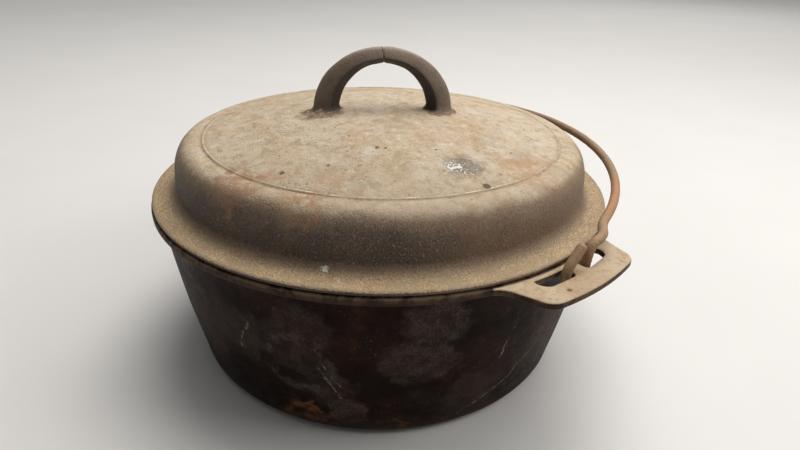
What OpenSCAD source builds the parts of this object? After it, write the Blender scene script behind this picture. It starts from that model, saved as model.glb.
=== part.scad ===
// Cast iron dutch oven: pot with two slotted ears, domed lid with an arch handle, wire bail.
// Origin: centre of the flat base. +X runs through the two ears, +Y to the side the bail lies on,
// +Z up. Millimetres.

/* [Pot] */
// Outer radius of the wall where the base corner ends
pot_low_r = 116.6; // [108:0.1:120]
// Outer radius of the wall just under the rim bead
pot_top_r = 131.2; // [126:0.1:132]
// How far the wall bellies out at mid height
pot_belly = 1.2; // [0:0.1:3]
// Radius of the corner between base and wall
base_corner = 9; // [5:0.5:14]
// Height of the rim above the ground
pot_h = 99.4; // [85:0.1:110]
// Wall thickness
wall_t = 4.2; // [3:0.1:6]
// Floor thickness
floor_t = 4.8; // [3:0.1:7]
// Outer radius of the rim bead
rim_r = 135.6; // [134.8:0.1:137]
// Height of the rim bead
rim_h = 4.6; // [3:0.1:7]

/* [Ears] */
// Reach of the ears from the pot's axis
ear_r = 157.2; // [155:0.1:165]
// Half width of an ear where it meets the rim
ear_root_w = 39.5; // [36:0.5:44]
// Half width of an ear at its corners
ear_tip_w = 35.5; // [33:0.5:38]
// Radius of the ears' corners
ear_corner = 9.5; // [6:0.5:11]
// Thickness of an ear
ear_t = 3.6; // [2.4:0.1:3.8]
// Inner radius of the slot in each ear, from the pot's axis
slot_in_r = 138; // [137.6:0.1:138.1]
// Outer radius of the slot
slot_out_r = 144.9; // [144.5:0.1:147]
// Half length of the slot
slot_half = 26; // [26:0.1:28]
// Half width of the bridge that parts each slot in two
bridge_half = 4.7; // [4:0.1:4.8]

/* [Lid] */
// Outer radius of the lid's flange
flange_r = 134.9; // [130:0.1:135]
// Thickness of the flange
flange_t = 3; // [2:0.1:4]
// Radius of the crown's side where it leaves the flange
crown_r = 121; // [112:0.5:123]
// Radius where the shoulder meets the flat top
top_r = 105.4; // [95:0.1:108]
// Height of the shoulder's top above the rim
top_h = 32.5; // [26:0.1:40]
// Rise of the top from its edge to the middle
dome = 13.6; // [9:0.1:16]
// Squareness of the shoulder, 2 is a plain quarter ellipse
shoulder_n = 2.88; // [2:0.01:4]
// Concave corner between flange and crown
foot_fillet = 6.8; // [3:0.1:9]
// Thickness of the lid's crown
crown_t = 4; // [3:0.1:6]
// Depth of the locating lip under the flange
lip_h = 5; // [3:0.1:8]
// Gap between the lip and the pot's mouth
lip_gap = 1.7; // [0.8:0.1:3]
// Width of the raised casting line round the top
line_w = 1.6; // [1:0.1:3]
// Turn of the lid on the rim, measured from +X
lid_turn = 54.5; // [0:0.5:180]

/* [Lid handle] */
// Half width of the arch over its outside
arch_out = 41.3; // [36:0.1:46]
// Height of the arch's top over its spring line
arch_h = 37; // [33:0.5:44]
// Half width of the gap inside the arch
arch_in = 25.8; // [22:0.1:30]
// Height of the gap over the spring line
arch_gap_h = 27.5; // [22:0.1:29]
// Thickness of the arch across its plane
arch_t = 12; // [9:0.5:16]
// Height of the spring line above the rim
arch_z = 44.6; // [43:0.1:46]

/* [Bail] */
// Wire radius
wire_r = 2.55; // [2:0.05:2.6]
// Distance of the straight legs from the pot's axis
leg_u = 141.3; // [141.2:0.1:141.5]
// Height of the legs' plane above the pivot line
leg_v = 10; // [9.5:0.5:11]
// Lean of the bail above level when it lies down
bail_rest = 5.5; // [5.5:0.5:20]
// First bend, inward lean in degrees
bend_lean = 37.5; // [37:0.5:38]
// Inward lean where the bow starts, in degrees
bow_lean = 15.4; // [15.3:0.1:15.6]
// Radius of the hook that wraps round the ear's bridge
hook_r = 8; // [8:0.1:8.5]
// Straight length of the hook's tip
tip_l = 11; // [8:0.5:12]

/* [Output] */
// Sub-part to show

/* [Hidden] */
$fa = 2;
$fs = 0.6;
seat_gap = 0.3;
pivot_z = pot_h - ear_t / 2;
mouth_r = pot_top_r - wall_t;
flange_z = pot_h + seat_gap;
flange_top = flange_z + flange_t;
crown_foot = flange_top + foot_fillet;
top_z = pot_h + top_h;
// the bail's two bends and its bow, in the bail's own plane: u outward, w along the leg
bend_a = 16;
bend_b = 32;
slot_y = 1.2;
// the hook, in the plane across the bail: w along the leg, v above it
neck_r = 6.5;
neck_turn = 76;
tip_at = 127;
neck_l = (leg_v - neck_r * (1 - cos(neck_turn)) + hook_r * cos(neck_turn)) / sin(neck_turn);
neck_w = (hook_r + neck_r) * sin(neck_turn) + neck_l * cos(neck_turn);
bend_start = neck_w + 1;
u1 = leg_u - bend_a * (1 - cos(bend_lean));
w1 = bend_start + bend_a * sin(bend_lean);
u2 = u1 - bend_b * (cos(bow_lean) - cos(bend_lean));
w2 = w1 + bend_b * (sin(bend_lean) - sin(bow_lean));
bow_r = u2 / cos(bow_lean);
bow_w = w2 - bow_r * sin(bow_lean);
slim = 0.05;

function arc(cx, cy, r, a0, a1, n = 12) =
    [for (i = [0:n]) let (a = a0 + (a1 - a0) * i / n) [cx + r * cos(a), cy + r * sin(a)]];

// wall radius at height z, less an inset
function wall_at(z, inset = 0) =
    let (u = (z - base_corner) / (pot_h - rim_h - base_corner))
    pot_low_r + (pot_top_r - pot_low_r) * u + pot_belly * 4 * u * (1 - u) - inset;

module pot_profile() {
    z1 = pot_h - rim_h;
    n = 14;
    lean = atan((wall_at(base_corner + 0.5) - wall_at(base_corner)) / 0.5);
    polygon(concat(
        [[0, 0]],
        arc(pot_low_r - base_corner, base_corner, base_corner, -90, -lean, 12),
        [for (i = [1:n]) let (z = base_corner + (z1 - 1.5 - base_corner) * i / n) [wall_at(z), z]],
        arc(pot_top_r + 1.9, z1 - 1.2, 1.5, 150, 90, 4),
        arc(rim_r - 1.6, z1 + 1.9, 1.6, -80, 0, 6),
        arc(rim_r - 1.3, pot_h - 1.3, 1.3, 0, 90, 6),
        arc(mouth_r + 1.1, pot_h - 1.1, 1.1, 90, 180, 6),
        [for (i = [n:-1:2]) let (z = base_corner + (z1 - base_corner) * i / n)
            [wall_at(z, wall_t), z]],
        arc(wall_at(floor_t + base_corner, wall_t) - base_corner, floor_t + base_corner,
            base_corner, -8, -90, 12),
        [[0, floor_t]]
    ));
}

// half outline of one ear: root block, rounded corner, rim-concentric front edge
module ear_plan() {
    cr = ear_r - ear_corner;
    cy = ear_tip_w - ear_corner;
    cx = sqrt(cr * cr - cy * cy);
    ca = atan2(cy, cx);
    polygon([[120, 0], [120, ear_root_w + 1.4], [rim_r - 1, ear_root_w],
             [cx + 1.1, ear_tip_w - 0.06], [cx, cy], [cx, 0]]);
    translate([cx, cy]) circle(r = ear_corner);
    intersection() {
        circle(r = ear_r, $fn = 180);
        polygon([[0, 0], [180, 0], [180, 180 * tan(ca)]]);
    }
}

module slot_plan() {
    intersection() {
        difference() {
            circle(r = slot_out_r, $fn = 180);
            circle(r = slot_in_r, $fn = 180);
        }
        // the ends are pinched towards the pot, and their outer corners are cut off
        translate([0, slot_y])
            polygon([[125, -slot_half], [slot_in_r + 1.8, -slot_half], [slot_out_r - 1.6, 1.2 - slot_half],
                     [slot_out_r + 0.8, 5.4 - slot_half], [slot_out_r + 0.8, -bridge_half - 2.4],
                     [slot_out_r - 1.8, -bridge_half], [125, -bridge_half], [120, 0], [125, bridge_half],
                     [slot_out_r - 1.8, bridge_half], [slot_out_r + 0.8, bridge_half + 2.4],
                     [slot_out_r + 0.8, slot_half - 5.4], [slot_out_r - 1.6, slot_half - 1.2],
                     [slot_in_r + 1.8, slot_half], [125, slot_half]]);
    }
}

module ear() {
    difference() {
        translate([0, 0, pot_h - ear_t]) linear_extrude(ear_t) {
            ear_plan();
            mirror([0, 1]) ear_plan();
        }
        translate([0, 0, pot_h - ear_t - 1]) linear_extrude(ear_t + 2) slot_plan();
        translate([0, 0, pot_h - ear_t - 1]) cylinder(r = mouth_r + 2.5, h = ear_t + 2, $fn = 180);
    }
}

// the kettle: base, wall, rim bead and the two ears are one casting
module pot() {
    color("#2b2522") {
        rotate_extrude($fn = 180) pot_profile();
        ear();
        mirror([1, 0, 0]) ear();
    }
}

function shoulder(ro, rt, z0, z1, n = 18) =
    [for (i = [0:n]) let (a = 90 * i / n)
        [rt + (ro - rt) * pow(cos(a), 2 / shoulder_n), z0 + (z1 - z0) * pow(sin(a), 2 / shoulder_n)]];

module lid_profile() {
    ti = crown_t;
    dn = 8;
    lip_r = mouth_r - lip_gap;
    polygon(concat(
        // outside, from the flange's lower edge up and in to the middle
        [[flange_r - 0.8, flange_z]],
        arc(flange_r - 1.4, flange_z + 1.4, 1.4, -35, 90, 8),
        [[flange_r - 3, flange_top]],
        arc(crown_r + foot_fillet, crown_foot, foot_fillet, 270, 180, 10),
        shoulder(crown_r, top_r, crown_foot, top_z),
        [[top_r - 0.4, top_z + 0.35], [top_r - line_w, top_z + 0.35], [top_r - line_w - 0.5, top_z + 0.1]],
        [for (i = [1:dn]) let (r = (top_r - line_w - 0.5) * (1 - i / dn))
            [r, top_z + 0.1 + dome * (1 - pow(r / top_r, 2))]],
        // inside, from the middle back out to the lip
        [for (i = [0:dn]) let (r = (top_r - 2) * i / dn)
            [r, top_z - ti + dome * (1 - pow(r / top_r, 2)) - 0.1]],
        [for (i = [17:-1:1]) let (a = 90 * i / 18)
            [top_r - 2 + (crown_r - ti - top_r + 2) * pow(cos(a), 2 / shoulder_n),
             crown_foot + (top_z - ti - crown_foot) * pow(sin(a), 2 / shoulder_n)]],
        [[crown_r - ti, crown_foot], [crown_r - ti + 1, flange_z - lip_h + 0.8],
         [crown_r - ti + 1.8, flange_z - lip_h]],
        [[lip_r - 0.8, flange_z - lip_h], [lip_r, flange_z - lip_h + 0.8], [lip_r, flange_z]]
    ));
}

// arch handle: a bevelled bar swept over a tall half ellipse, thinner at the crown of the arch
module arch() {
    n = 40;
    a0 = -9;
    // the widest line is nearer the inside of the arch, as the mould's draft leaves it
    sec = [[1, 0.22], [0.78, 0.52], [0.3, 0.82], [-0.3, 1], [-0.56, 0.9], [-1, 0.22],
           [-1, -0.22], [-0.56, -0.9], [-0.3, -1], [0.3, -0.82], [0.78, -0.52], [1, -0.22]];
    m = len(sec);
    pts = [for (i = [0:n]) let (
            a = a0 + (180 - 2 * a0) * i / n,
            o = [arch_out * cos(a), arch_h * sin(a)],
            p = [arch_in * cos(a), arch_gap_h * sin(a)],
            c = (o + p) / 2,
            d = (o - p) / 2,
            w = arch_t / 2 * (1 + 0.12 * pow(cos(a), 2)))
        for (s = sec) [c[0] + d[0] * s[0], w * s[1], c[1] + d[1] * s[0]]];
    faces = concat(
        [[for (j = [0:m - 1]) j]],
        [[for (j = [m - 1:-1:0]) n * m + j]],
        [for (i = [0:n - 1]) for (j = [0:m - 1])
            let (k = (j + 1) % m) [i * m + j, (i + 1) * m + j, (i + 1) * m + k, i * m + k]]);
    polyhedron(points = pts, faces = faces, convexity = 4);
}

module arch_foot() {
    cx = (arch_out + arch_in) / 2;
    translate([cx, 0, pot_h + arch_z - 4])
        rotate_extrude($fn = 72)
            polygon(concat([[0, 0], [12.6, 0]], arc(12.6, 8.2, 5, 270, 190, 8), [[0, 7.4]]));
}

// the cover: flange, crown, locating lip and arch handle are one casting
module lid() {
    color("#8a7a66") {
        rotate_extrude($fn = 180) lid_profile();
        rotate([0, 0, lid_turn]) {
            difference() {
                union() {
                    translate([0, 0, pot_h + arch_z]) arch();
                    arch_foot();
                    mirror([1, 0, 0]) arch_foot();
                }
                // keep the roots inside the crown's thickness
                translate([0, 0, pot_h]) cylinder(r = 60, h = top_z - pot_h + dome - 4.3);
            }
        }
    }
}

module bar(p, q) {
    d = q - p;
    translate([p[0], 0, p[1]]) rotate([0, atan2(d[0], d[1]), 0]) cylinder(r = wire_r, h = norm(d), $fn = 48);
}

// a bend of the wire in the bail's plane: centre c, radius r, from a0 to a1 degrees; a slim one
// runs a little way into its neighbours, so that the joins are clean
module bend(c, r, a0, a1, slim = 0) {
    e = slim > 0 ? 0.8 / r * 180 / PI : 0;
    translate([c[0], 0, c[1]]) rotate([90, 0, 0]) rotate([0, 0, a0 - e])
        rotate_extrude(angle = a1 - a0 + 2 * e, $fn = max(48, round(r * 1.1)))
            translate([r, 0]) circle(r = wire_r - slim, $fn = 48);
}

// straight wire and bend in the plane across the bail, at the leg's distance
module rod(p, q) {
    d = q - p;
    translate([leg_u, -p[1], p[0]]) rotate([atan2(d[1], d[0]), 0, 0])
        cylinder(r = wire_r, h = norm(d), $fn = 48);
}

module curl(c, r, a0, a1) {
    e = 0.8 / r * 180 / PI;
    translate([leg_u, -c[1], c[0]]) rotate([180, -90, 0]) rotate([0, 0, a0 - e])
        rotate_extrude(angle = a1 - a0 + 2 * e, $fn = 72)
            translate([r, 0]) circle(r = wire_r - slim, $fn = 48);
}

// one leg: two bends off the bow, then the neck down to the hook round the ear's bridge
module leg() {
    a = neck_turn;
    foot = hook_r * [sin(a), -cos(a)];
    tip = hook_r * [cos(tip_at), sin(tip_at)];
    translate([0, -leg_v, 0]) {
        bend([u2 + bend_b * cos(bow_lean), w2 + bend_b * sin(bow_lean)], bend_b,
             180 + bow_lean, 180 + bend_lean);
        bend([leg_u - bend_a, bend_start], bend_a, 0, bend_lean, slim);
    }
    rod([neck_w, leg_v], [bend_start, leg_v]);
    curl([neck_w, leg_v - neck_r], neck_r, 90, 90 + a);
    rod(foot, foot + neck_l * [cos(a), sin(a)]);
    curl([0, 0], hook_r, tip_at - 360, a - 90);
    rod(tip, tip + tip_l * [sin(tip_at), -cos(tip_at)]);
}

// one bent wire, lying back over the rim; it turns about the line through both bridges
module bail() {
    color("#5b4a3d")
        translate([0, slot_y, pivot_z]) rotate([bail_rest - 90, 0, 0]) {
            translate([0, -leg_v, 0]) bend([0, bow_w], bow_r, bow_lean, 180 - bow_lean, slim);
            leg();
            mirror([1, 0, 0]) leg();
        }
}

pot();
lid();
bail();
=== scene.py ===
"""Cast iron dutch oven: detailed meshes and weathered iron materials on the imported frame.

Lengths here are millimetres; MM turns them into Blender's metres as each mesh is made.
"""
import math

import bmesh
import bpy
from mathutils import Matrix, Vector, noise


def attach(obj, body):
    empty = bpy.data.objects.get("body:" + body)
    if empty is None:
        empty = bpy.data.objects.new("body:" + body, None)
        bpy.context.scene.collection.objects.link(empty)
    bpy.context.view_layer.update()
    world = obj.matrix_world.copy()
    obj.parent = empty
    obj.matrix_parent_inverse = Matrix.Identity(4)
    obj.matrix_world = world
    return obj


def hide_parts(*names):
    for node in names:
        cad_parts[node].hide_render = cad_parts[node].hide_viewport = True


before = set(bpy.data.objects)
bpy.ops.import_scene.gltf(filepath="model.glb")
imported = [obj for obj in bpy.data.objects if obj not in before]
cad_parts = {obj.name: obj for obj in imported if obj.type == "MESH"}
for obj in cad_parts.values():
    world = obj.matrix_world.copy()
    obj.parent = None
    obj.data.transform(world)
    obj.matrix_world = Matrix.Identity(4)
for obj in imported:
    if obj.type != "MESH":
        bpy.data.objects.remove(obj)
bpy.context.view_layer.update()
MM = 0.001

# ---------------------------------------------------------------- sizes, as in the CAD model
POT_H, RIM_R, RIM_H, MOUTH_R = 99.4, 135.5, 4.6, 127.0
LOW_R, TOP_R, BELLY, CORNER, WALL, FLOOR = 116.6, 131.2, 1.2, 9.0, 4.2, 4.8
WALL_MID_R = 125.0
EAR_R, EAR_T, EAR_ROOT, EAR_TIP, EAR_CORNER, EAR_EDGE = 157.15, 3.6, 39.5, 35.5, 9.5, 0.95
SLOT_IN, SLOT_OUT, SLOT_HALF, SLOT_Y, BRIDGE = 138.0, 144.9, 26.0, 1.2, 4.7

FLANGE_R, FLANGE_T, FILLET = 134.85, 3.0, 6.8
CROWN_R, CREST_R, CREST_H, DOME, SQUARENESS = 121.0, 105.4, 32.5, 13.6, 2.88
CROWN_T, LIP_H, LIP_GAP, LINE_W = 4.0, 5.0, 1.7, 1.6

LID_TURN, ARCH_OUT, ARCH_H, ARCH_IN = 54.5, 41.3, 36.9, 25.8
ARCH_GAP, ARCH_T, ARCH_Z = 27.5, 12.0, 44.6
ARCH_ROOT_ANGLE, FLARE_HEIGHT, FLARE_PUSH = -4.5, 4.0, 3.2

WIRE_R, LEG_U, LEG_V, REST = 2.49, 141.3, 10.0, 5.5
HOOK_R, TIP_AT, TIP_L, NECK_R, NECK_TURN, LEG_L = 8.0, 127.0, 11.0, 6.5, 76.0, 1.0
BEND_LEAN, BEND_R = 37.5, 16.0
BOW_LEAN, EASE_R = 15.4, 32.0

PIVOT_Z = POT_H - EAR_T / 2
SEAT = POT_H + 0.3
FLANGE_TOP = SEAT + FLANGE_T
CROWN_FOOT = FLANGE_TOP + FILLET
CREST_Z = POT_H + CREST_H
# Direction of the camera round the pot, which the marks and dust on its front, the painted shade on the
# lid's front and the painted light on the lid's right side are placed from
CAMERA_SIDE = -40.5
FOOT_R = (ARCH_OUT + ARCH_IN) / 2


def rad(a):
    return math.radians(a)


def polar(r, degrees, z=0.0):
    return Vector((r * math.cos(rad(degrees)), r * math.sin(rad(degrees)), z))


def arc(cx, cy, r, a0, a1, n):
    angles = [rad(a0 + (a1 - a0) * i / n) for i in range(n + 1)]
    return [(cx + r * math.cos(a), cy + r * math.sin(a)) for a in angles]


def wall_at(z, inset=0.0):
    """Outer radius of the pot's wall at height z, less an inset."""
    u = (z - CORNER) / (POT_H - RIM_H - CORNER)
    return LOW_R + (TOP_R - LOW_R) * u + BELLY * 4 * u * (1 - u) - inset


def resample(points, step):
    """Splits long stretches of an outline so that none is longer than step."""
    out = [points[0]]
    for a, b in zip(points, points[1:]):
        n = int(math.ceil(math.hypot(b[0] - a[0], b[1] - a[1]) / step - 1e-6))
        out += [(a[0] + (b[0] - a[0]) * i / n, a[1] + (b[1] - a[1]) * i / n) for i in range(1, n + 1)]
    return out


def lumps(x, y, z, size):
    """Smooth unevenness from -1 to 1, with features of about this size."""
    return noise.noise(Vector((x, y, z)) / size)


# ---------------------------------------------------------------- mesh helpers
def new_object(name, bm, sharp):
    mesh = bpy.data.meshes.new(name)
    bmesh.ops.recalc_face_normals(bm, faces=bm.faces)
    bm.to_mesh(mesh)
    bm.free()
    ob = bpy.data.objects.new(name, mesh)
    bpy.context.scene.collection.objects.link(ob)
    shade(ob, sharp)
    return ob


def shade(ob, sharp):
    for p in ob.data.polygons:
        p.use_smooth = True
    ob.data.set_sharp_from_angle(angle=rad(sharp))


def lathe(name, profile, uneven, segments=288, sharp=40):
    """Turns a profile that starts and ends on the axis; uneven(r, z, angle) is each point's own shift."""
    bm = bmesh.new()
    rings = []
    for r, z in profile:
        count = 1 if r < 1e-4 else segments
        ring = []
        for i in range(count):
            a = 2 * math.pi * i / segments
            dr, dz = uneven(r, z, a)
            rr = 0.0 if count == 1 else r + dr
            ring.append(bm.verts.new((rr * MM * math.cos(a), rr * MM * math.sin(a), (z + dz) * MM)))
        rings.append(ring)
    for a, b in zip(rings, rings[1:]):
        for i in range(segments):
            j = (i + 1) % segments
            if len(a) == 1:
                bm.faces.new((a[0], b[i], b[j]))
            elif len(b) == 1:
                bm.faces.new((a[i], b[0], a[j]))
            else:
                bm.faces.new((a[i], b[i], b[j], a[j]))
    return new_object(name, bm, sharp)


def sweep(name, rings, sharp):
    """Closed bar through rings of points in millimetres."""
    bm = bmesh.new()
    loops = [[bm.verts.new(p * MM) for p in ring] for ring in rings]
    n = len(loops[0])
    for a, b in zip(loops, loops[1:]):
        for i in range(n):
            j = (i + 1) % n
            bm.faces.new((a[i], b[i], b[j], a[j]))
    bm.faces.new(list(reversed(loops[0])))
    bm.faces.new(loops[-1])
    return new_object(name, bm, sharp)


def union(base, *others):
    for o in others:
        m = base.modifiers.new("join", "BOOLEAN")
        m.operation = "UNION"
        m.solver = "EXACT"
        m.object = o
    bpy.context.view_layer.update()
    joined = bpy.data.meshes.new_from_object(base.evaluated_get(bpy.context.evaluated_depsgraph_get()))
    base.modifiers.clear()
    base.data = joined
    for o in others:
        bpy.data.objects.remove(o)
    return base


# ---------------------------------------------------------------- pot
def pot_profile():
    z1 = POT_H - RIM_H
    out = [(0, 0), (LOW_R - CORNER, 0)]
    out += arc(LOW_R - CORNER, CORNER, CORNER, -90, -9, 14)
    out += [(wall_at(z), z) for z in [CORNER + (z1 - 1.5 - CORNER) * i / 40 for i in range(1, 41)]]
    out += arc(TOP_R + 1.9, z1 - 1.2, 1.5, 150, 90, 4)
    out += arc(RIM_R - 1.6, z1 + 1.9, 1.6, -80, 0, 8)
    out += arc(RIM_R - 1.3, POT_H - 1.3, 1.3, 0, 90, 8)
    out += arc(MOUTH_R + 1.1, POT_H - 1.1, 1.1, 90, 180, 8)
    out += [(wall_at(z, WALL), z) for z in [CORNER + (z1 - CORNER) * i / 30 for i in range(30, 4, -1)]]
    out += arc(wall_at(FLOOR + CORNER, WALL) - CORNER, FLOOR + CORNER, CORNER, -8, -90, 14)
    out += [(0, FLOOR)]
    return resample(out, 4.0)


def pot_unevenness(r, z, a):
    """The casting's slight waviness; the seat, the mouth and the foot stay true."""
    if z < 1 or z > POT_H - RIM_H or r < LOW_R - CORNER:
        return 0.0, 0.0
    x, y = r * math.cos(a), r * math.sin(a)
    fade = min(1.0, (POT_H - RIM_H - z) / 8)
    return fade * (0.22 * lumps(x, y, z, 30) + 0.08 * lumps(x, y, z, 9)) - 0.2 * fade, 0.0


def ear_outline():
    """Rim-concentric front edge, rounded corners, and sides that run back into the rim."""
    reach, cy = EAR_R - EAR_CORNER, EAR_TIP - EAR_CORNER
    cx = math.sqrt(reach * reach - cy * cy)
    corner = math.degrees(math.atan2(cy, cx))
    half = arc(0, 0, EAR_R, 0, corner, 16)
    half += arc(cx, cy, EAR_CORNER, corner, 83, 10)[1:]
    half += [(RIM_R + 1.5, EAR_ROOT - 1.2), (RIM_R - 1, EAR_ROOT - 0.3), (RIM_R - 3, EAR_ROOT + 0.8)]
    half += [(RIM_R - 4.8, EAR_ROOT + 2.3), (RIM_R - 6.6, EAR_ROOT + 4.6), (RIM_R - 11, EAR_ROOT + 5)]
    half = resample(half, 1.2)
    return [(x, -y) for x, y in reversed(half)][:-1] + half


def slot_outline(side):
    """One of the slot's two openings, on this side of the bridge that parts them."""
    def edge(radius, t):
        return math.sqrt(radius ** 2 - (SLOT_Y + side * t) ** 2), t

    near, far, n = BRIDGE + 0.05, SLOT_HALF, 24
    xo, xi = edge(SLOT_OUT, near)[0], edge(SLOT_IN, near)[0]
    loop = arc(xo - 2.3, near + 2.3, 2.3, -90, 0, 8)
    loop += [edge(SLOT_OUT, near + 2.5 + (far - near - 7.5) * i / n) for i in range(n + 1)]
    (ex, et), fx = loop[-1], edge(SLOT_IN, far)[0] + 0.9
    turn = [rad(10 * i) for i in range(1, 9)]
    loop += [(fx + (ex - fx) * math.cos(a), et + (far - et) * math.sin(a)) for a in turn]
    loop += [edge(SLOT_IN, far - 0.7 + (near + 2.0 - far) * i / n) for i in range(n + 1)]
    loop += arc(xi + 1.2, near + 1.2, 1.2, 190, 270, 5)[:-1]
    loop = [(x, SLOT_Y + side * t) for x, t in loop]
    return loop if side > 0 else loop[::-1]


def ear_mesh(name, side):
    curve = bpy.data.curves.new(name, "CURVE")
    curve.dimensions = "2D"
    curve.fill_mode = "BOTH"
    curve.extrude = (EAR_T / 2 - EAR_EDGE) * MM
    curve.bevel_depth = EAR_EDGE * MM
    curve.bevel_resolution = 4
    curve.offset = -EAR_EDGE * MM
    for loop in (ear_outline(), slot_outline(-1), slot_outline(1)):
        spline = curve.splines.new("POLY")
        spline.points.add(len(loop) - 1)
        for p, (x, y) in zip(spline.points, loop):
            p.co = (x * MM, y * MM, 0, 1)
        spline.use_cyclic_u = True
    ob = bpy.data.objects.new(name, curve)
    bpy.context.scene.collection.objects.link(ob)
    bpy.context.view_layer.update()
    mesh = bpy.data.meshes.new_from_object(ob.evaluated_get(bpy.context.evaluated_depsgraph_get()))
    bpy.data.objects.remove(ob)
    mesh.transform(Matrix.Translation((0, 0, PIVOT_Z * MM)) @ Matrix.Diagonal((side, 1, 1, 1)))
    bm = bmesh.new()
    bm.from_mesh(mesh)
    bmesh.ops.remove_doubles(bm, verts=bm.verts, dist=1e-6)
    bpy.data.meshes.remove(mesh)
    return new_object(name, bm, 40)


def build_pot():
    pot = lathe("pot_body", pot_profile(), pot_unevenness)
    pot = union(pot, ear_mesh("ear_a", 1), ear_mesh("ear_b", -1))
    shade(pot, 38)
    return pot


# ---------------------------------------------------------------- lid
def shoulder(ro, rt, z0, z1, n):
    """Superellipse quarter from the crown's side up to its top."""
    k = 2 / SQUARENESS
    angles = [rad(90 * i / n) for i in range(n + 1)]
    return [(rt + (ro - rt) * max(math.cos(a), 0) ** k, z0 + (z1 - z0) * math.sin(a) ** k) for a in angles]


def lid_top_z(r):
    return CREST_Z + DOME * (1 - (r / CREST_R) ** 2) + 0.1


def lid_profile():
    edge = CREST_R - LINE_W - 0.5
    rings = 84
    pts = [(edge * i / rings, lid_top_z(edge * i / rings)) for i in range(rings)]
    pts += [(edge, CREST_Z + 0.5), (CREST_R - LINE_W, CREST_Z + 0.72)]
    pts += [(CREST_R - LINE_W * 0.55, CREST_Z + 0.7), (CREST_R - 0.4, CREST_Z + 0.3)]
    pts += list(reversed(shoulder(CROWN_R, CREST_R, CROWN_FOOT, CREST_Z, 40)))
    pts += arc(CROWN_R + FILLET, CROWN_FOOT, FILLET, 180, 270, 16)[1:]
    pts += resample([(CROWN_R + FILLET, FLANGE_TOP), (FLANGE_R - 1.4, FLANGE_TOP)], 0.9)[1:]
    pts += arc(FLANGE_R - 1.4, SEAT + 1.6, 1.4, 80, -50, 10)
    lip, inner = MOUTH_R - LIP_GAP, CROWN_R - CROWN_T
    pts += resample([(FLANGE_R - 1.2, SEAT), (lip, SEAT)], 2.0)
    pts += [(lip, SEAT - LIP_H + 0.8), (lip - 0.8, SEAT - LIP_H), (inner + 1.8, SEAT - LIP_H),
            (inner + 1, SEAT - LIP_H + 0.8)]
    pts += shoulder(inner, CREST_R - 2, CROWN_FOOT, CREST_Z - CROWN_T, 18)[:-1]
    hollow = [(CREST_R - 2) * i / 26 for i in range(27)]
    pts += [(r, lid_top_z(r) - CROWN_T - 0.2) for r in reversed(hollow)]
    return pts


LEFT_FOOT, RIGHT_FOOT = polar(-FOOT_R, LID_TURN), polar(FOOT_R, LID_TURN)
# Rusty crusts round the arch's feet: centre, radius, height
CRUSTS = ((LEFT_FOOT + polar(7, CAMERA_SIDE - 22), 15.0, 2.4),
          (RIGHT_FOOT + polar(4, CAMERA_SIDE), 12.0, 0.9))


def lid_unevenness(r, z, a):
    """Cast waviness all over the outside, a chewed flange edge, and rusty crust round the arch's feet."""
    x, y = r * math.cos(a), r * math.sin(a)
    if z > CREST_Z and z > lid_top_z(r) - 1.5:
        dz = 0.22 * lumps(x, y, 0, 26) + 0.09 * lumps(x, y, 3, 8) + 0.04 * lumps(x, y, 5, 3)
        for centre, width, height in CRUSTS:
            near = max(0.0, 1 - math.hypot(x - centre.x, y - centre.y) / width)
            crust = 0.5 + 0.8 * lumps(x, y, 11, 4.2) + 0.6 * lumps(x, y, 12, 2.1)
            dz += near ** 0.6 * height * max(0.0, crust)
        return 0.0, dz
    if r > FLANGE_R - 2.5 and z > SEAT + 0.2:
        return -0.3 * abs(lumps(x, y, z, 7)) - 0.12 * abs(lumps(x, y, z, 2.5)), 0.0
    if CROWN_R - 1 < r < FLANGE_R - 2.5 and z > SEAT + 1:
        return 0.0, 0.12 * lumps(x, y, z, 14) + 0.05 * lumps(x, y, z, 4)
    if r > CREST_R and z > CROWN_FOOT:
        return 0.15 * lumps(x, y, z, 22) + 0.05 * lumps(x, y, z, 6), 0.0
    return 0.0, 0.0


ARCH_SECTION = [(1, .16), (.97, .32), (.86, .46), (.6, .62), (.3, .78), (0, .91), (-.17, .985), (-.26, 1.0),
                (-.34, .965), (-.52, .80), (-.74, .59), (-.92, .42), (-.98, .32), (-1, .14)]


def arch_ring(angle):
    """One cross-section of the arch; its apex carries the seam where the mould's halves met."""
    ex, ey, ez = polar(1, LID_TURN), polar(1, LID_TURN + 90), Vector((0, 0, 1))
    a = rad(angle)
    outer = Vector((ARCH_OUT * math.cos(a), ARCH_H * math.sin(a)))
    inner = Vector((ARCH_IN * math.cos(a), ARCH_GAP * math.sin(a)))
    inner.y += 0.8 * math.exp(-abs(inner.x) / 2.2) - 0.3 * math.exp(-(inner.x / 6) ** 2)
    middle, reach = (outer + inner) / 2, (outer - inner) / 2
    width = ARCH_T / 2 * (1 + 0.12 * math.cos(a) ** 2)
    centre = ex * middle.x + ez * (POT_H + ARCH_Z + middle.y)
    along = (ex * reach.x + ez * reach.y).normalized()
    half = reach.length
    ring = []
    for s, t in ARCH_SECTION + [(s, -t) for s, t in reversed(ARCH_SECTION)]:
        seam = 0.28 * math.exp(-((middle.x - 0.5 * t) / 0.3) ** 2)
        rough = 0.3 * lumps(middle.x + 3 * s, middle.y, 9 * t, 8)
        rough += 0.12 * lumps(middle.x, 4 * s + middle.y, 7 * t, 2.5)
        grow = 0.6 * rough - seam - 0.25
        point = centre + along * s * (half + grow) + ey * t * (width + grow)
        ring.append(point + foot_flare(point, centre))
    return ring


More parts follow.
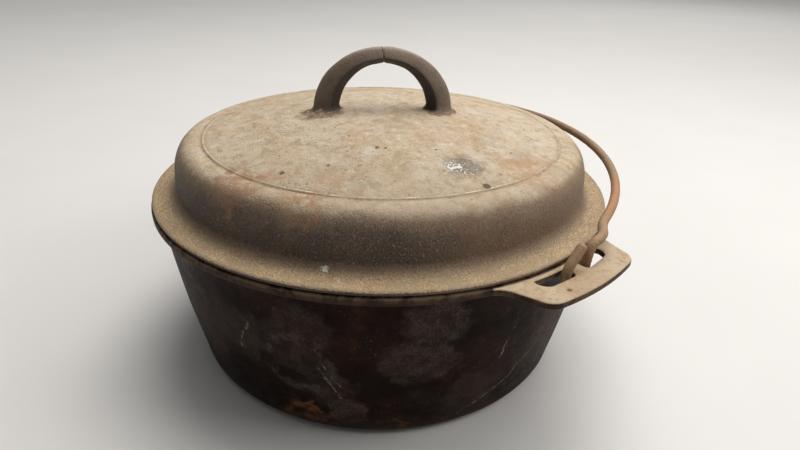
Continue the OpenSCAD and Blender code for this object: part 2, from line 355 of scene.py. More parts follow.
def foot_flare(point, centre):
    """Sideways push that gives the arch a small fillet where it meets the dome."""
    rise = (point.z - lid_top_z(math.hypot(point.x, point.y))) / FLARE_HEIGHT
    if rise > 1:
        return Vector((0, 0, 0))
    outward = Vector((point.x - centre.x, point.y - centre.y, 0)).normalized()
    return outward * FLARE_PUSH * (1 - math.sqrt(1 - (1 - max(rise, 0)) ** 2))


def build_arch():
    span = 180 - 2 * ARCH_ROOT_ANGLE
    angles = [ARCH_ROOT_ANGLE + span * i / 150 for i in range(151)]
    seam = [90 + 0.35 * i for i in range(-6, 7)]
    angles = sorted([a for a in angles if abs(a - 90) > 2.3] + seam)
    return sweep("lid_arch", [arch_ring(a) for a in angles], 30)


# ---------------------------------------------------------------- bail
def hook_line():
    """The hooked end in the plane across the bail (w along the leg, v above it), tip to leg."""
    turn, at = rad(NECK_TURN), rad(TIP_AT)
    neck_l = (LEG_V - NECK_R * (1 - math.cos(turn)) + HOOK_R * math.cos(turn)) / math.sin(turn)
    neck_w = (HOOK_R + NECK_R) * math.sin(turn) + neck_l * math.cos(turn)
    base = HOOK_R * math.cos(at), HOOK_R * math.sin(at)
    tip = base[0] + TIP_L * math.sin(at), base[1] - TIP_L * math.cos(at)
    foot = HOOK_R * math.sin(turn), -HOOK_R * math.cos(turn)
    neck = foot[0] + neck_l * math.cos(turn), foot[1] + neck_l * math.sin(turn)
    pts = resample([tip, base], 0.8)
    pts += arc(0, 0, HOOK_R, TIP_AT, 270 + NECK_TURN, 44)[1:]
    pts += resample([foot, neck], 1.2)[1:]
    pts += arc(neck_w, LEG_V - NECK_R, NECK_R, 90 + NECK_TURN, 90, 12)[1:]
    return pts + [(neck_w + LEG_L, LEG_V)]


def bail_half_line():
    """Half the wire's centre line as (u outward, w along the leg, v above it), hook tip to bow."""
    hook = hook_line()
    start, bend, bow = hook[-1][0], rad(BEND_LEAN), rad(BOW_LEAN)
    u1, w1 = LEG_U - BEND_R * (1 - math.cos(bend)), start + BEND_R * math.sin(bend)
    u2 = u1 - EASE_R * (math.cos(bow) - math.cos(bend))
    w2 = w1 + EASE_R * (math.sin(bend) - math.sin(bow))
    bow_r = u2 / math.cos(bow)
    plan = arc(LEG_U - BEND_R, start, BEND_R, 0, BEND_LEAN, 10)[1:]
    ease = u2 + EASE_R * math.cos(bow), w2 + EASE_R * math.sin(bow)
    plan += arc(*ease, EASE_R, 180 + BEND_LEAN, 180 + BOW_LEAN, 12)[1:]
    plan += arc(0, w2 - bow_r * math.sin(bow), bow_r, BOW_LEAN, 90, 110)[1:]
    return [(LEG_U, w, v) for w, v in hook] + [(u, w, LEG_V) for u, w in plan]


def build_bail():
    half = bail_half_line()
    line = half + [(-u, w, v) for u, w, v in reversed(half[:-1])]
    ca, sa = math.cos(rad(REST)), math.sin(rad(REST))
    pts = [Vector((u, SLOT_Y + w * ca - v * sa, PIVOT_Z + w * sa + v * ca)) for u, w, v in line]
    sides, last = 32, len(pts) - 1
    rings, across = [], Vector((1, 0, 0))
    for i, p in enumerate(pts):
        along = (pts[min(i + 1, last)] - pts[max(i - 1, 0)]).normalized()
        across = (across - along * across.dot(along)).normalized()
        over = along.cross(across)
        end = min(i, last - i)
        cap = (0.7, 0.92, 1.0)[min(end, 2)]
        ring = []
        for j in range(sides):
            a = 2 * math.pi * j / sides
            d = across * math.cos(a) + over * math.sin(a)
            worn = 0.12 * abs(lumps(*(p + d * 2), 5)) + 0.08 * abs(lumps(*p, 30))
            ring.append(p + d * (WIRE_R * cap - worn))
        rings.append(ring)
    return sweep("bail_wire", rings, 60)


# ---------------------------------------------------------------- material kit
class Shader:
    """One node material. Methods take numbers or sockets and return an output socket.

    p is the surface point in millimetres in the part's own frame, up is how far the surface
    faces up, from -1 to 1.
    """

    def __init__(self, name):
        self.mat = bpy.data.materials.new(name)
        self.mat.use_nodes = True
        self.tree = self.mat.node_tree
        self.bsdf = self.tree.nodes["Principled BSDF"]
        coord = self.node("ShaderNodeTexCoord")
        self.p = self.vec("SCALE", coord.outputs["Object"], scale=1 / MM)
        self.normal = coord.outputs["Normal"]
        self.x, self.y, self.z = self.split(self.p)
        self.up = self.split(self.normal)[2]
        self.r = self.math("SQRT", self.plus(self.times(self.x, self.x), self.times(self.y, self.y)))

    def node(self, kind):
        return self.tree.nodes.new(kind)

    def put(self, socket, value):
        if isinstance(value, bpy.types.NodeSocket):
            self.tree.links.new(value, socket)
        elif isinstance(value, tuple) and socket.type == "RGBA" and len(value) == 3:
            socket.default_value = (*value, 1)
        else:
            socket.default_value = value

    def split(self, v):
        n = self.node("ShaderNodeSeparateXYZ")
        self.put(n.inputs[0], v)
        return n.outputs[0], n.outputs[1], n.outputs[2]

    def join(self, x, y, z):
        n = self.node("ShaderNodeCombineXYZ")
        for socket, value in zip(n.inputs, (x, y, z)):
            self.put(socket, value)
        return n.outputs[0]

    def math(self, op, a, b=0.0, clamp=False):
        n = self.node("ShaderNodeMath")
        n.operation = op
        n.use_clamp = clamp
        self.put(n.inputs[0], a)
        self.put(n.inputs[1], b)
        return n.outputs[0]

    def vec(self, op, a, b=None, scale=None):
        n = self.node("ShaderNodeVectorMath")
        n.operation = op
        self.put(n.inputs[0], a)
        if b is not None:
            self.put(n.inputs[1], b)
        if scale is not None:
            n.inputs["Scale"].default_value = scale
        return n.outputs["Value"] if op in ("DISTANCE", "LENGTH", "DOT_PRODUCT") else n.outputs[0]

    def noise(self, size, detail=4.0, rough=0.55, shift=0.0, p=None):
        """Cloudy noise about 0.5, with features of about this size in millimetres."""
        n = self.node("ShaderNodeTexNoise")
        n.inputs["Scale"].default_value = 1 / size
        n.inputs["Detail"].default_value = detail
        n.inputs["Roughness"].default_value = rough
        away = (shift * size, -shift * size, shift * 3 * size)
        self.put(n.inputs["Vector"], self.vec("ADD", p or self.p, away))
        return n.outputs[0]

    def cells(self, size, shift=0.0):
        """Distance to the nearest of scattered points, 0 at each, in cells of this size."""
        n = self.node("ShaderNodeTexVoronoi")
        n.inputs["Scale"].default_value = 1 / size
        self.put(n.inputs["Vector"], self.vec("ADD", self.p, (shift * size, shift * size, 0)))
        return n.outputs["Distance"]

    def step(self, value, low, high):
        """Smooth change from 0 at low to 1 at high."""
        n = self.node("ShaderNodeMapRange")
        n.interpolation_type = "SMOOTHSTEP"
        self.put(n.inputs[0], value)
        n.inputs[1].default_value = min(low, high)
        n.inputs[2].default_value = max(low, high)
        n.inputs[3].default_value = 0 if low < high else 1
        n.inputs[4].default_value = 1 if low < high else 0
        return n.outputs[0]

    def times(self, *values):
        """Product; of masks, it is where they all hold."""
        out = values[0]
        for v in values[1:]:
            out = self.math("MULTIPLY", out, v)
        return out

    def plus(self, a, b):
        return self.math("ADD", a, b)

    def minus(self, a, b):
        return self.math("SUBTRACT", a, b)

    def either(self, *masks):
        out = masks[0]
        for m in masks[1:]:
            out = self.math("MAXIMUM", out, m)
        return out

    def band(self, value, centre, half, soft):
        away = self.math("ABSOLUTE", self.minus(value, centre))
        return self.step(away, half + soft, half)

    def mix(self, fac, a, b):
        n = self.node("ShaderNodeMix")
        n.data_type = "RGBA"
        self.put(n.inputs[0], fac)
        self.put(n.inputs[6], a)
        self.put(n.inputs[7], b)
        return n.outputs[2]

    def paint(self, base, *layers):
        """Lays (mask, colour) layers over a base colour, in order."""
        for mask, colour in layers:
            base = self.mix(mask, base, colour)
        return base

    def spot(self, centre, radius, ragged=0.35, p=None):
        """Ragged round patch about a point."""
        d = self.vec("DISTANCE", p or self.p, tuple(centre))
        wob = self.times(self.minus(self.noise(radius * 0.55, 5, 0.65), 0.5), radius * ragged * 5)
        return self.step(self.plus(d, wob), radius * 1.05, radius * 0.7)

    def streak(self, a, b, width, p=None):
        """Soft line between two points."""
        p = p or self.p
        a, b = Vector(a), Vector(b)
        along = b - a
        pa = self.vec("SUBTRACT", p, tuple(a))
        t = self.math("DIVIDE", self.vec("DOT_PRODUCT", pa, tuple(along)), along.length_squared, clamp=True)
        nearest = self.node("ShaderNodeVectorMath")
        nearest.operation = "SCALE"
        nearest.inputs[0].default_value = tuple(along)
        self.put(nearest.inputs["Scale"], t)
        d = self.vec("LENGTH", self.vec("SUBTRACT", pa, nearest.outputs[0]))
        return self.step(d, width, width * 0.3)

    def unrolled(self):
        """Point on the wall laid flat: distance round from the camera's side, and height."""
        turned = self.node("ShaderNodeVectorRotate")
        turned.rotation_type = "Z_AXIS"
        self.put(turned.inputs["Vector"], self.p)
        turned.inputs["Angle"].default_value = -rad(CAMERA_SIDE)
        x, y, z = self.split(turned.outputs[0])
        return self.join(self.times(self.math("ARCTAN2", y, x), WALL_MID_R), z, 0.0)

    def finish(self, colour, roughness, height, bump, specular):
        """Joins the colour, roughness and relief; bump is the relief's depth in millimetres."""
        n = self.node("ShaderNodeBump")
        n.inputs["Strength"].default_value = 1.0
        n.inputs["Distance"].default_value = bump * MM
        self.put(n.inputs["Height"], height)
        self.put(self.bsdf.inputs["Normal"], n.outputs[0])
        self.put(self.bsdf.inputs["Base Color"], colour)
        self.put(self.bsdf.inputs["Roughness"], roughness)
        self.bsdf.inputs["Specular IOR Level"].default_value = specular
        return self.mat


# ---------------------------------------------------------------- materials
IRON_DARK = (0.036, 0.026, 0.021)
IRON_BROWN = (0.085, 0.060, 0.044)
DUST_PALE = (0.58, 0.475, 0.345)
DUST_WARM = (0.53, 0.405, 0.275)
DUST_GREY = (0.49, 0.43, 0.345)
SAND_GOLD = (0.46, 0.335, 0.195)
RUST_ORANGE = (0.43, 0.235, 0.105)
RUST_RED = (0.22, 0.105, 0.065)
RUST_DARK = (0.12, 0.068, 0.040)
SPECK_WHITE = (0.80, 0.76, 0.68)
RIM_BROWN = (0.042, 0.027, 0.020)


def lid_material():
    """Dust-covered, rust-freckled top whose dust thins out at the front as painted shade; dark speckled
    side with painted light on its right; sandy golden flange with painted shade by the crown; dark
    underside.
    """
    s = Shader("lid_iron")
    broad, cloud = s.noise(55, 3), s.noise(17, 5, 0.6)
    mottle, fine = s.noise(5.5, 6, 0.7, 2), s.noise(1.7, 4, 0.7, 5)
    grain, grit = s.noise(0.75, 2, 0.6, 1), s.noise(1.1, 3, 0.65, 7)
    outside = s.either(s.step(s.up, -0.2, 0.0), s.step(s.r, CROWN_R - 2.5, CROWN_R - 1.5))
    on_flange = s.times(s.step(s.r, CROWN_R - 0.5, CROWN_R + 4.5), s.step(s.up, 0.1, 0.6))
    wander = s.times(s.minus(cloud, 0.5), 0.7)
    ripple = s.times(s.minus(fine, 0.5), 0.5)
    facing = s.plus(s.plus(s.up, wander), ripple)
    # Painted shade: front marks the lid's side towards the camera, where facing is lowered so the dust
    # thins out and the front reads darker.
    front = s.step(s.vec("DOT_PRODUCT", s.p, tuple(polar(1, CAMERA_SIDE - 5))), 20, 110)
    # Painted light: right covers the lid's side to the right of the camera's side, which is painted
    # lighter.
    right = s.step(s.vec("DOT_PRODUCT", s.p, tuple(polar(1, CAMERA_SIDE + 62))), 55, 120)
    facing = s.minus(facing, s.times(front, 0.12))
    dust_minus_front_shade = s.step(facing, 0.42, 1.04)

    dark_pits = s.times(s.step(s.cells(9), 0.12, 0.05), s.step(s.noise(19, 2, 0.5, 9), 0.5, 0.6))
    small_pits = s.times(s.step(s.cells(3.3, 3), 0.25, 0.10), s.step(s.noise(21, 3, 0.5, 3), 0.53, 0.63))
    top = s.mix(s.step(broad, 0.40, 0.62), DUST_PALE, DUST_WARM)
    top = s.paint(top,
                  (s.times(s.step(cloud, 0.47, 0.66), 0.55), DUST_GREY),
                  (s.times(s.step(s.noise(28, 4, 0.6, 4), 0.50, 0.62), 0.6), (0.46, 0.33, 0.19)),
                  (s.times(s.step(s.noise(22, 4, 0.7, 23), 0.54, 0.64), 0.5), (0.62, 0.585, 0.50)),
                  (s.times(s.step(mottle, 0.49, 0.64), 0.75), (0.41, 0.30, 0.18)),
                  (s.times(s.step(s.noise(7, 6, 0.75, 4), 0.55, 0.64), 0.65), (0.38, 0.235, 0.105)),
                  (s.times(s.step(mottle, 0.47, 0.33), 0.75), (0.66, 0.58, 0.43)),
                  (s.times(s.step(s.noise(12, 5, 0.65, 9), 0.55, 0.66), 0.5), (0.43, 0.40, 0.32)),
                  (s.times(s.step(fine, 0.55, 0.72), 0.5), (0.27, 0.19, 0.12)),
                  (s.times(s.step(grit, 0.58, 0.70), 0.45), (0.30, 0.21, 0.135)),
                  (s.times(s.step(grit, 0.42, 0.32), 0.5), (0.70, 0.60, 0.46)),
                  (s.times(dark_pits, 0.75), RUST_DARK),
                  (s.times(small_pits, 0.7), (0.17, 0.11, 0.07)))

    side = s.mix(s.step(cloud, 0.40, 0.62), IRON_DARK, IRON_BROWN)
    side = s.paint(side,
                   (s.times(s.step(cloud, 0.62, 0.46), 0.5), (0.115, 0.080, 0.058)),
                   # Dust on the side below the shoulder, with less of it at the front as painted shade.
                   (s.times(s.step(facing, -0.10, 0.50), 0.8), (0.245, 0.175, 0.115)),
                   # Painted light on the right part of the side.
                   (s.times(right, 0.6), (0.27, 0.175, 0.105)),
                   (s.times(s.step(grain, 0.55, 0.70), 0.6), (0.25, 0.185, 0.13)),
                   (s.times(s.step(grit, 0.60, 0.68), 0.65), (0.40, 0.30, 0.205)),
                   (s.times(s.step(grain, 0.44, 0.32), 0.7), (0.018, 0.013, 0.011)))

    worn_edge = s.times(s.band(s.r, FLANGE_R - 1.2, 0.4, 0.6), s.step(mottle, 0.36, 0.54))
    flange = s.mix(s.step(cloud, 0.40, 0.62), SAND_GOLD, (0.40, 0.29, 0.175))
    flange = s.paint(flange,
                     (s.times(s.step(s.noise(9, 5, 0.65, 6), 0.54, 0.66), 0.55), RUST_ORANGE),
                     (s.times(s.step(grit, 0.52, 0.62), 0.6), (0.80, 0.62, 0.38)),
                     (s.times(s.step(grain, 0.48, 0.38), 0.85), (0.14, 0.095, 0.055)),
                     (s.times(s.step(fine, 0.58, 0.70), 0.5), (0.21, 0.145, 0.09)),
                     # Painted shade in the flange's corner against the crown.
                     (s.times(s.step(s.r, CROWN_R + 5.5, CROWN_R + 1), 0.6), (0.11, 0.08, 0.055)),
                     (s.times(worn_edge, 0.7), (0.36, 0.27, 0.18)))

    colour = s.paint(side, (dust_minus_front_shade, top), (on_flange, flange))
    return lid_details(s, colour, outside, dust_minus_front_shade, (cloud, mottle, fine, grain, grit))


def lid_details(s, colour, outside, dust_minus_front_shade, noises):
    """The lid's own marks: casting line, stains, pits, nicks, foot rust and the plain underside; with
    painted shade along the front edge of the top and a painted shadow beside the white fleck.
    """
    cloud, mottle, fine, grain, grit = noises
    above = s.step(s.z, CREST_Z - 3, CREST_Z - 1)
    line = s.times(s.band(s.r, CREST_R - 1.6, 0.35, 0.5), above)
    near = s.step(s.vec("DOT_PRODUCT", s.p, tuple(polar(1, CAMERA_SIDE + 6))), 78, 96)
    worn_line = s.times(line, near, s.step(mottle, 0.46, 0.58))
    halo = s.times(s.band(s.r, CREST_R + 0.1, 0.25, 1.0), above, s.step(cloud, 0.42, 0.6), 0.55)

    flat = s.join(s.x, s.y, 0.0)
    foot_rust = s.either(*[s.spot(centre, width * 0.92, 0.3, flat) for centre, width, _ in CRUSTS])
    foot_rust = s.times(foot_rust, s.step(s.z, CREST_Z, CREST_Z + 4))
    crust = s.mix(s.step(fine, 0.42, 0.6), (0.10, 0.058, 0.034), (0.32, 0.215, 0.13))

    stain = s.spot((82, -17, 137.5), 11, 0.3)
    white = s.times(s.spot((80, -22, 137.8), 5.0, 0.4), s.step(s.noise(1.6, 2, 0.6, 2), 0.45, 0.51))
    crumbs = s.times(s.spot((83, -17, 137.5), 10, 0.3), s.step(s.noise(1.1, 2, 0.6, 4), 0.60, 0.63))
    fleck = s.spot((75, -96, 104), 2.5, 0.35)
    fleck_shade = s.spot((76.8, -95.2, 103), 2.1, 0.5)
    marks = s.either(s.spot((100, -20, 133), 2.3, 0.6), s.spot((31, -89, 134), 1.5, 0.7),
                     s.spot((44, -41, 141), 1.2, 0.6), s.spot((47, -38, 141), 0.9, 0.6),
                     s.spot((71, -50, 138), 1.2, 0.6), s.spot((70, -46, 138.4), 0.9, 0.6),
                     s.spot((42, -70, 138), 1.0, 0.6), s.spot((-31, 52, 141), 1.5, 0.5))
    blush = s.either(s.spot((96, 12, 134), 14, 0.3), s.spot((31, -88, 134), 9, 0.4),
                     s.spot((52, -77, 135.5), 7, 0.4), s.spot((-60, 40, 139), 20, 0.35),
                     s.spot((10, 88, 136), 13, 0.35))
    shoulder_rust = s.either(s.spot((22, -108, 130), 17, 0.3), s.spot((58, -95, 128), 12, 0.4),
                             s.spot((-88, 68, 128), 22, 0.35))
    red_side = s.spot((111, -43, 122), 8, 0.35)
    nick = s.streak((119.5, -21.5, 121.5), (120.4, -19.8, 113.5), 1.0)

    # Painted shade: the dust on the top turns browner towards its front edge, on the camera's side.
    front_edge_shade = s.times(s.step(s.vec("DOT_PRODUCT", s.p, tuple(polar(1, CAMERA_SIDE - 5))), 60, 112), dust_minus_front_shade)
    colour = s.paint(colour,
                     (s.times(front_edge_shade, s.step(cloud, 0.30, 0.55), 0.5), (0.36, 0.265, 0.165)),
                     (s.times(blush, s.step(mottle, 0.36, 0.6), 0.6), (0.45, 0.26, 0.15)),
                     (s.times(shoulder_rust, s.step(mottle, 0.38, 0.58), 0.65), (0.31, 0.165, 0.085)),
                     (s.times(red_side, s.step(mottle, 0.3, 0.6), 0.5), RUST_RED),
                     (s.times(halo, s.step(fine, 0.35, 0.6)), RUST_DARK),
                     (s.times(line, 0.2), (0.25, 0.18, 0.12)),
                     (s.times(worn_line, 0.9), (0.80, 0.65, 0.42)),
                     (s.times(foot_rust, 0.85), crust),
                     (s.times(stain, s.step(fine, 0.25, 0.55), 0.8), (0.15, 0.13, 0.10)),
                     (s.times(marks, 0.85), (0.085, 0.050, 0.033)),
                     (s.times(fleck_shade, 0.6), (0.12, 0.085, 0.055)),
                     (s.either(white, crumbs, fleck), SPECK_WHITE),
                     (nick, (0.03, 0.02, 0.015)))
    under = s.paint(s.mix(s.step(cloud, 0.4, 0.62), (0.035, 0.028, 0.024), (0.07, 0.052, 0.042)),
                    (s.times(s.step(mottle, 0.56, 0.7), 0.6), (0.12, 0.06, 0.035)),
                    (s.times(s.step(grain, 0.6, 0.75), 0.3), (0.2, 0.15, 0.11)))
    colour = s.mix(outside, under, colour)

    rough = s.plus(s.times(dust_minus_front_shade, 0.14), s.times(s.minus(fine, 0.5), 0.35))
    rough = s.plus(rough, 0.60)
    pits = s.times(s.step(s.cells(9), 0.12, 0.04), dust_minus_front_shade)
    height = s.plus(s.times(grain, 0.6), s.times(grit, 0.6))
    height = s.plus(height, s.times(mottle, 0.8))
    height = s.minus(height, s.times(s.either(pits, marks, nick), 0.9))
    height = s.plus(height, s.times(s.either(white, crumbs, fleck, s.times(foot_rust, fine)), 0.9))
    return s.finish(colour, rough, height, 0.5, specular=0.32)


def arch_material():
    """Hand-darkened grey-brown iron, with painted light on its outward facets and painted shade on its
    inner ones, dustier where it faces up, with a crusty rust at the feet.
    """
    s = Shader("arch_iron")
    ex, toward = tuple(polar(1, LID_TURN)), tuple(polar(1, LID_TURN - 90))
    cloud, mottle = s.noise(14, 4, 0.6), s.noise(4.5, 5, 0.7, 2)
    fine, grain = s.noise(1.5, 4, 0.7, 5), s.noise(0.8, 2)
    along = s.vec("DOT_PRODUCT", s.p, ex)
    across = s.vec("DOT_PRODUCT", s.p, toward)
    lift = s.minus(s.z, POT_H + ARCH_Z)
    outward = s.plus(s.times(s.vec("DOT_PRODUCT", s.normal, ex), s.math("DIVIDE", along, 34.0)),
                     s.times(s.up, s.math("DIVIDE", lift, 32.0)))
    # uneven is the painted light mask: how far each facet faces outward, broken up by mottle.
    uneven = s.plus(outward, s.times(s.minus(mottle, 0.5), 0.6))
    base = s.mix(s.step(cloud, 0.40, 0.62), (0.080, 0.060, 0.047), (0.125, 0.092, 0.068))
    foot = s.step(s.plus(lift, s.times(mottle, 8.0)), 7.0, 3.0)
    seam_at = s.minus(along, s.times(s.minus(s.z, POT_H + ARCH_Z + ARCH_GAP), -0.12))
    seam = s.times(s.step(s.math("ABSOLUTE", seam_at), 0.6, 0.15), s.step(lift, 10, 14))
    crack = s.times(seam, s.step(outward, -0.1, 0.1), s.step(fine, 0.36, 0.5))
    flash = s.times(seam, s.step(outward, -0.1, -0.3), 0.5)
    foot_crust = s.mix(s.step(fine, 0.4, 0.62), (0.07, 0.04, 0.025), (0.27, 0.165, 0.09))
    colour = s.paint(base,
                     # Painted light on the outward facets.
                     (s.times(s.step(uneven, 0.05, 0.75), 0.85), (0.235, 0.175, 0.128)),
                     (s.times(s.step(s.plus(s.up, s.times(cloud, 0.3)), 0.75, 1.1), 0.6),
                      (0.36, 0.285, 0.21)),
                     (s.times(s.step(mottle, 0.54, 0.66), 0.55), (0.18, 0.105, 0.06)),
                     (s.times(s.step(fine, 0.56, 0.70), 0.45), (0.055, 0.04, 0.032)),
                     (s.times(s.step(grain, 0.60, 0.72), 0.35), (0.33, 0.255, 0.18)),
                     # Painted shade on the inner facets, which face in and down.
                     (s.times(s.step(outward, -0.15, -0.4), 0.85), (0.024, 0.019, 0.017)),
                     (s.times(foot, 0.8), foot_crust),
                     (crack, (0.014, 0.010, 0.009)),
                     (s.times(flash, s.step(across, 0, 1)), (0.16, 0.12, 0.09)))
    rough = s.plus(0.48, s.times(s.plus(foot, s.times(fine, 0.5)), 0.3))
    height = s.plus(s.times(grain, 0.45), s.plus(mottle, s.times(fine, 0.6)))
    return s.finish(colour, rough, height, 0.45, specular=0.45)


# Chalky smudges on the wall: distance round from the camera's side and height, size, strength
SMUDGES = (((27, 80), 17, 0.55), ((19, 57), 20, 0.50), ((-72, 60), 18, 0.45), ((-43, 62), 22, 0.35),
           ((-25, 35), 14, 0.45), ((-17, 19), 13, 0.65), ((-36, 76), 16, 0.35), ((52, 22), 20, 0.30),
           ((-110, 52), 26, 0.40), ((110, 50), 28, 0.40), ((190, 60), 30, 0.38), ((-200, 45), 34, 0.40),
           ((270, 40), 30, 0.38), ((-290, 66), 30, 0.40), ((345, 55), 26, 0.38))
# Scratches on the wall, in the same terms: one end, the other end, half width
SCRATCHES = (((66, 47), (69, 72), 0.9), ((67.5, 60), (69.5, 76), 0.7), ((46, 10), (76, 25), 1.1),
             ((76, 25), (99, 46), 0.9), ((-30, 50), (-20, 30), 1.1), ((-28, 54), (-17, 33), 0.7),
             ((-74, 48), (-66, 69), 1.0), ((-55, 62), (-40, 70), 0.8), ((160, 30), (185, 62), 0.9),
             ((-180, 70), (-150, 40), 0.9), ((240, 58), (262, 66), 0.8), ((-330, 30), (-300, 52), 0.9))


def pot_material():
    """Black-brown seasoned wall with chalky smudges and scratches; pale dust on the ear tops."""
    s = Shader("pot_iron")
    cloud, mottle = s.noise(26, 5, 0.6), s.noise(7, 5, 0.65, 2)
    fine, grain = s.noise(2, 4, 0.7, 5), s.noise(0.85, 2)
    depth = s.minus(s.r, s.times(s.z, (TOP_R - LOW_R) / POT_H))
    inside = s.times(s.step(depth, LOW_R - 0.8, LOW_R - 2.2), s.step(s.z, FLOOR - 1.2, FLOOR - 0.4))
    inside = s.times(inside, s.step(s.r, MOUTH_R + 1.4, MOUTH_R + 0.4))
    flat = s.unrolled()
    bent = s.join(s.plus(s.vec("DOT_PRODUCT", flat, (1.0, 0.0, 0.0)), s.times(cloud, 9.0)),
                  s.plus(s.z, s.times(mottle, 5.0)), 0.0)
    bent = s.vec("SUBTRACT", bent, (4.5, 2.5, 0.0))
    wall = s.mix(s.step(cloud, 0.38, 0.62), (0.0090, 0.0040, 0.0030), (0.0200, 0.0092, 0.0062))
    chalk = 0.0
    for (round_to, z), size, strength in SMUDGES:
        chalk = s.math("MAXIMUM", s.times(s.spot((round_to, z, 0), size, 0.3, flat), strength), chalk)
    haze = s.plus(0.30, s.times(s.step(mottle, 0.34, 0.62), 0.70))
    chalk = s.times(chalk, haze, s.plus(0.35, s.times(s.step(grain, 0.36, 0.66), 0.65)))
    ring = s.times(s.band(s.vec("DISTANCE", flat, (-40, 50, 0)), 17, 1.0, 4.0), s.step(mottle, 0.42, 0.60))
    low = s.plus(s.z, s.times(s.minus(mottle, 0.5), 30))
    scratches = s.either(*[s.streak((*a, 0), (*b, 0), width, bent) for a, b, width in SCRATCHES])
    scratches = s.times(scratches, s.step(fine, 0.40, 0.60), s.step(s.noise(9, 3, 0.6, 5), 0.42, 0.58))
    base_rust = s.either(s.spot((-40, 5, 0), 16, 0.6, flat), s.spot((12, 2, 0), 12, 0.6, flat),
                         s.step(low, 8, 0))
    rim_edge = s.times(s.step(s.z, POT_H - 2.2, POT_H - 1.0), s.step(mottle, 0.4, 0.56))
    water_line = s.times(s.band(s.z, 62, 1.2, 5), s.step(cloud, 0.4, 0.6))
    thin_rust = s.times(s.step(s.noise(12, 5, 0.65, 8), 0.55, 0.68), 0.5)
    dots = s.times(s.step(s.noise(1.2, 2, 0.6, 3), 0.66, 0.72), s.step(cloud, 0.44, 0.6))
    wall = s.paint(wall,
                   (thin_rust, (0.052, 0.020, 0.009)),
                   (chalk, (0.120, 0.092, 0.078)),
                   (s.times(ring, 0.45), (0.095, 0.076, 0.066)),
                   (s.times(s.step(low, 16, 2), s.step(mottle, 0.42, 0.58), 0.7), (0.075, 0.032, 0.013)),
                   (s.times(base_rust, s.step(mottle, 0.42, 0.58), 0.7), (0.19, 0.080, 0.028)),
                   (s.times(dots, 0.45), (0.24, 0.19, 0.155)),
                   (s.times(scratches, 0.75), (0.26, 0.205, 0.165)),
                   (s.times(s.step(s.z, POT_H - RIM_H - 1, POT_H - RIM_H + 0.8), 0.7), RIM_BROWN),
                   (s.times(rim_edge, 0.8), (0.15, 0.10, 0.066)))
    seasoned = s.paint(s.mix(s.step(cloud, 0.4, 0.62), (0.022, 0.018, 0.016), (0.042, 0.032, 0.027)),
                       (s.times(s.step(mottle, 0.58, 0.7), 0.5), (0.09, 0.05, 0.03)),
                       (s.times(water_line, 0.35), (0.10, 0.07, 0.05)))
    on_ear = s.times(s.step(s.r, RIM_R - 0.6, RIM_R + 0.6),
                     s.step(s.z, PIVOT_Z - EAR_T, PIVOT_Z - EAR_T / 2 - 0.2))
    ear_side = s.mix(s.step(mottle, 0.4, 0.6), (0.045, 0.028, 0.019), (0.11, 0.07, 0.044))
    ear_top = s.paint(s.mix(s.step(cloud, 0.4, 0.62), (0.50, 0.395, 0.28), (0.44, 0.33, 0.22)),
                      (s.times(s.step(mottle, 0.50, 0.66), 0.6), (0.36, 0.24, 0.145)),
                      (s.times(s.step(fine, 0.54, 0.68), 0.6), (0.25, 0.165, 0.10)),
                      (s.times(s.step(grain, 0.60, 0.72), 0.4), (0.64, 0.53, 0.40)),
                      (s.spot((150.5, -18, POT_H), 1.4, 0.4), (0.17, 0.10, 0.065)))
    facing_up = s.step(s.plus(s.up, s.times(s.minus(fine, 0.5), 0.35)), 0.35, 0.8)
    colour = s.paint(wall, (inside, seasoned), (on_ear, s.mix(facing_up, ear_side, ear_top)))

    dusted = s.times(on_ear, facing_up)
    rough = s.plus(0.46, s.times(s.minus(mottle, 0.5), 0.5))
    rough = s.plus(rough, s.times(s.either(dusted, chalk), 0.3))
    height = s.plus(s.times(grain, 0.35), s.times(mottle, 1.1))
    height = s.minus(s.plus(height, s.times(fine, 0.5)), s.times(scratches, 0.5))
    return s.finish(colour, rough, height, 0.35, specular=0.04)


def bail_material():
    """Dry grey-brown wire with a rusty stretch and bare spots where it has rubbed; painted light on its
    upper side and painted shade on its underside.
    """
    s = Shader("bail_wire")
    cloud, mottle, fine = s.noise(22, 4, 0.6), s.noise(5, 5, 0.7, 2), s.noise(1.2, 4, 0.7, 5)
    base = s.mix(s.step(cloud, 0.40, 0.60), (0.30, 0.175, 0.090), (0.22, 0.140, 0.080))
    colour = s.paint(base,
                     # Painted light on the wire's upper side and painted shade on its underside.
                     (s.times(s.step(s.up, 0.1, 0.9), 0.45), (0.42, 0.275, 0.155)),
                     (s.times(s.step(s.up, 0.0, -0.6), 0.6), (0.075, 0.050, 0.035)),
                     (s.times(s.spot((124, 60, 113), 30, 0.3), 0.6), (0.44, 0.205, 0.08)),
                     (s.times(s.step(mottle, 0.54, 0.66), 0.55), (0.30, 0.15, 0.065)),
                     (s.times(s.step(fine, 0.56, 0.70), 0.6), (0.09, 0.060, 0.042)),
                     (s.times(s.step(fine, 0.42, 0.30), 0.5), (0.46, 0.36, 0.25)),
                     (s.times(s.step(s.noise(3, 2, 0.5, 9), 0.66, 0.72), 0.6), (0.37, 0.35, 0.32)))
    rough = s.plus(0.46, s.times(s.noise(8, 4), 0.4))
    height = s.plus(s.times(fine, 0.7), mottle)
    return s.finish(colour, rough, height, 0.3, specular=0.4)


def floor_material():
    s = Shader("floor_pale")
    tone = s.mix(s.step(s.noise(160, 3), 0.35, 0.65), (0.70, 0.69, 0.675), (0.715, 0.705, 0.69))
    return s.finish(tone, 0.85, s.noise(6, 3), 0.1, specular=0.2)


# ---------------------------------------------------------------- pieces on their bodies
def dress(ob, material, body):
    ob.data.materials.clear()
    ob.data.materials.append(material)
    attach(ob, body)


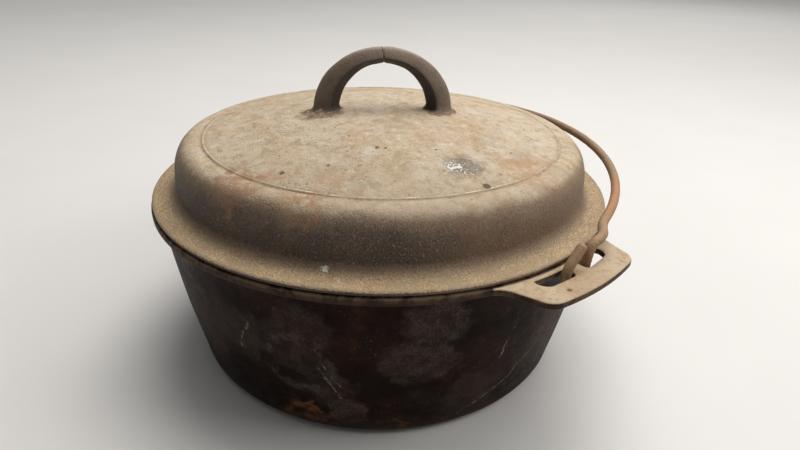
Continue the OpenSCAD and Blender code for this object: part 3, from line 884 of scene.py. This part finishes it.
pot = build_pot()
lid = lathe("lid_shell", lid_profile(), lid_unevenness)
arch = build_arch()
bail = build_bail()
dress(pot, pot_material(), "pot")
dress(lid, lid_material(), "lid")
dress(arch, arch_material(), "lid")
dress(bail, bail_material(), "bail")
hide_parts("pot")
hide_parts("lid")
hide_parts("bail")


# ---------------------------------------------------------------- floor, light, camera
def add_floor():
    bm = bmesh.new()
    bmesh.ops.create_grid(bm, x_segments=2, y_segments=2, size=4.0)
    ob = new_object("floor", bm, 30)
    ob.data.materials.append(floor_material())
    ob.location.z = -0.0002


def area_light(name, degrees_from_camera, distance, height, size, power, colour):
    """Disc lamp aimed at the pot, placed round it from the camera's side, anticlockwise from above."""
    lamp = bpy.data.lights.new(name, "AREA")
    lamp.shape = "DISK"
    lamp.size = size
    lamp.energy = power
    lamp.color = colour
    ob = bpy.data.objects.new(name, lamp)
    bpy.context.scene.collection.objects.link(ob)
    ob.location = polar(distance, CAMERA_SIDE + degrees_from_camera, height)
    ob.rotation_euler = (Vector((0, 0, 0.08)) - ob.location).to_track_quat("-Z", "Y").to_euler()


def add_sky_lamp(power):
    """Very wide, even light from above and a little behind, so that the far floor stays pale."""
    lamp = bpy.data.lights.new("sky_lamp", "SUN")
    lamp.energy = power
    lamp.angle = rad(75)
    lamp.color = (1.0, 0.985, 0.965)
    ob = bpy.data.objects.new("sky_lamp", lamp)
    bpy.context.scene.collection.objects.link(ob)
    ob.rotation_euler = polar(-0.35, CAMERA_SIDE + 130, -1).to_track_quat("-Z", "Y").to_euler()


def add_world():
    world = bpy.data.worlds.new("world")
    bpy.context.scene.world = world
    world.use_nodes = True
    sky = world.node_tree.nodes["Background"]
    sky.inputs[0].default_value = (0.93, 0.94, 0.95, 1)
    sky.inputs[1].default_value = 0.16


def add_camera():
    """Camera that looks down at the pot by 26 degrees from its +X, -Y side, rolled 1.9 degrees."""
    data = bpy.data.cameras.new("camera")
    data.sensor_width = 36
    data.lens = 26.465
    data.clip_start = 0.01
    cam = bpy.data.objects.new("camera", data)
    bpy.context.scene.collection.objects.link(cam)
    forward = Vector((-0.6595, 0.6057, -0.4452)).normalized()
    right = forward.cross(Vector((0, 0, 1))).normalized()
    up = right.cross(forward)
    roll = rad(1.9)
    right, up = right * math.cos(roll) + up * math.sin(roll), up * math.cos(roll) - right * math.sin(roll)
    place = Matrix((right, up, -forward)).transposed().to_4x4()
    place.translation = Vector((0.2623, -0.2240, 0.2391))
    cam.matrix_world = place
    bpy.context.scene.camera = cam


add_floor()
area_light("key", 160, 0.4, 1.5, 1.0, 13.0, (1.0, 0.97, 0.93))
area_light("side", 80, 1.0, 0.75, 0.7, 5.0, (1.0, 0.97, 0.93))
area_light("back", 150, 2.2, 1.6, 1.6, 14.0, (1.0, 0.975, 0.94))
add_sky_lamp(1.0)
add_world()
add_camera()
bpy.context.scene.view_settings.view_transform = "Standard"
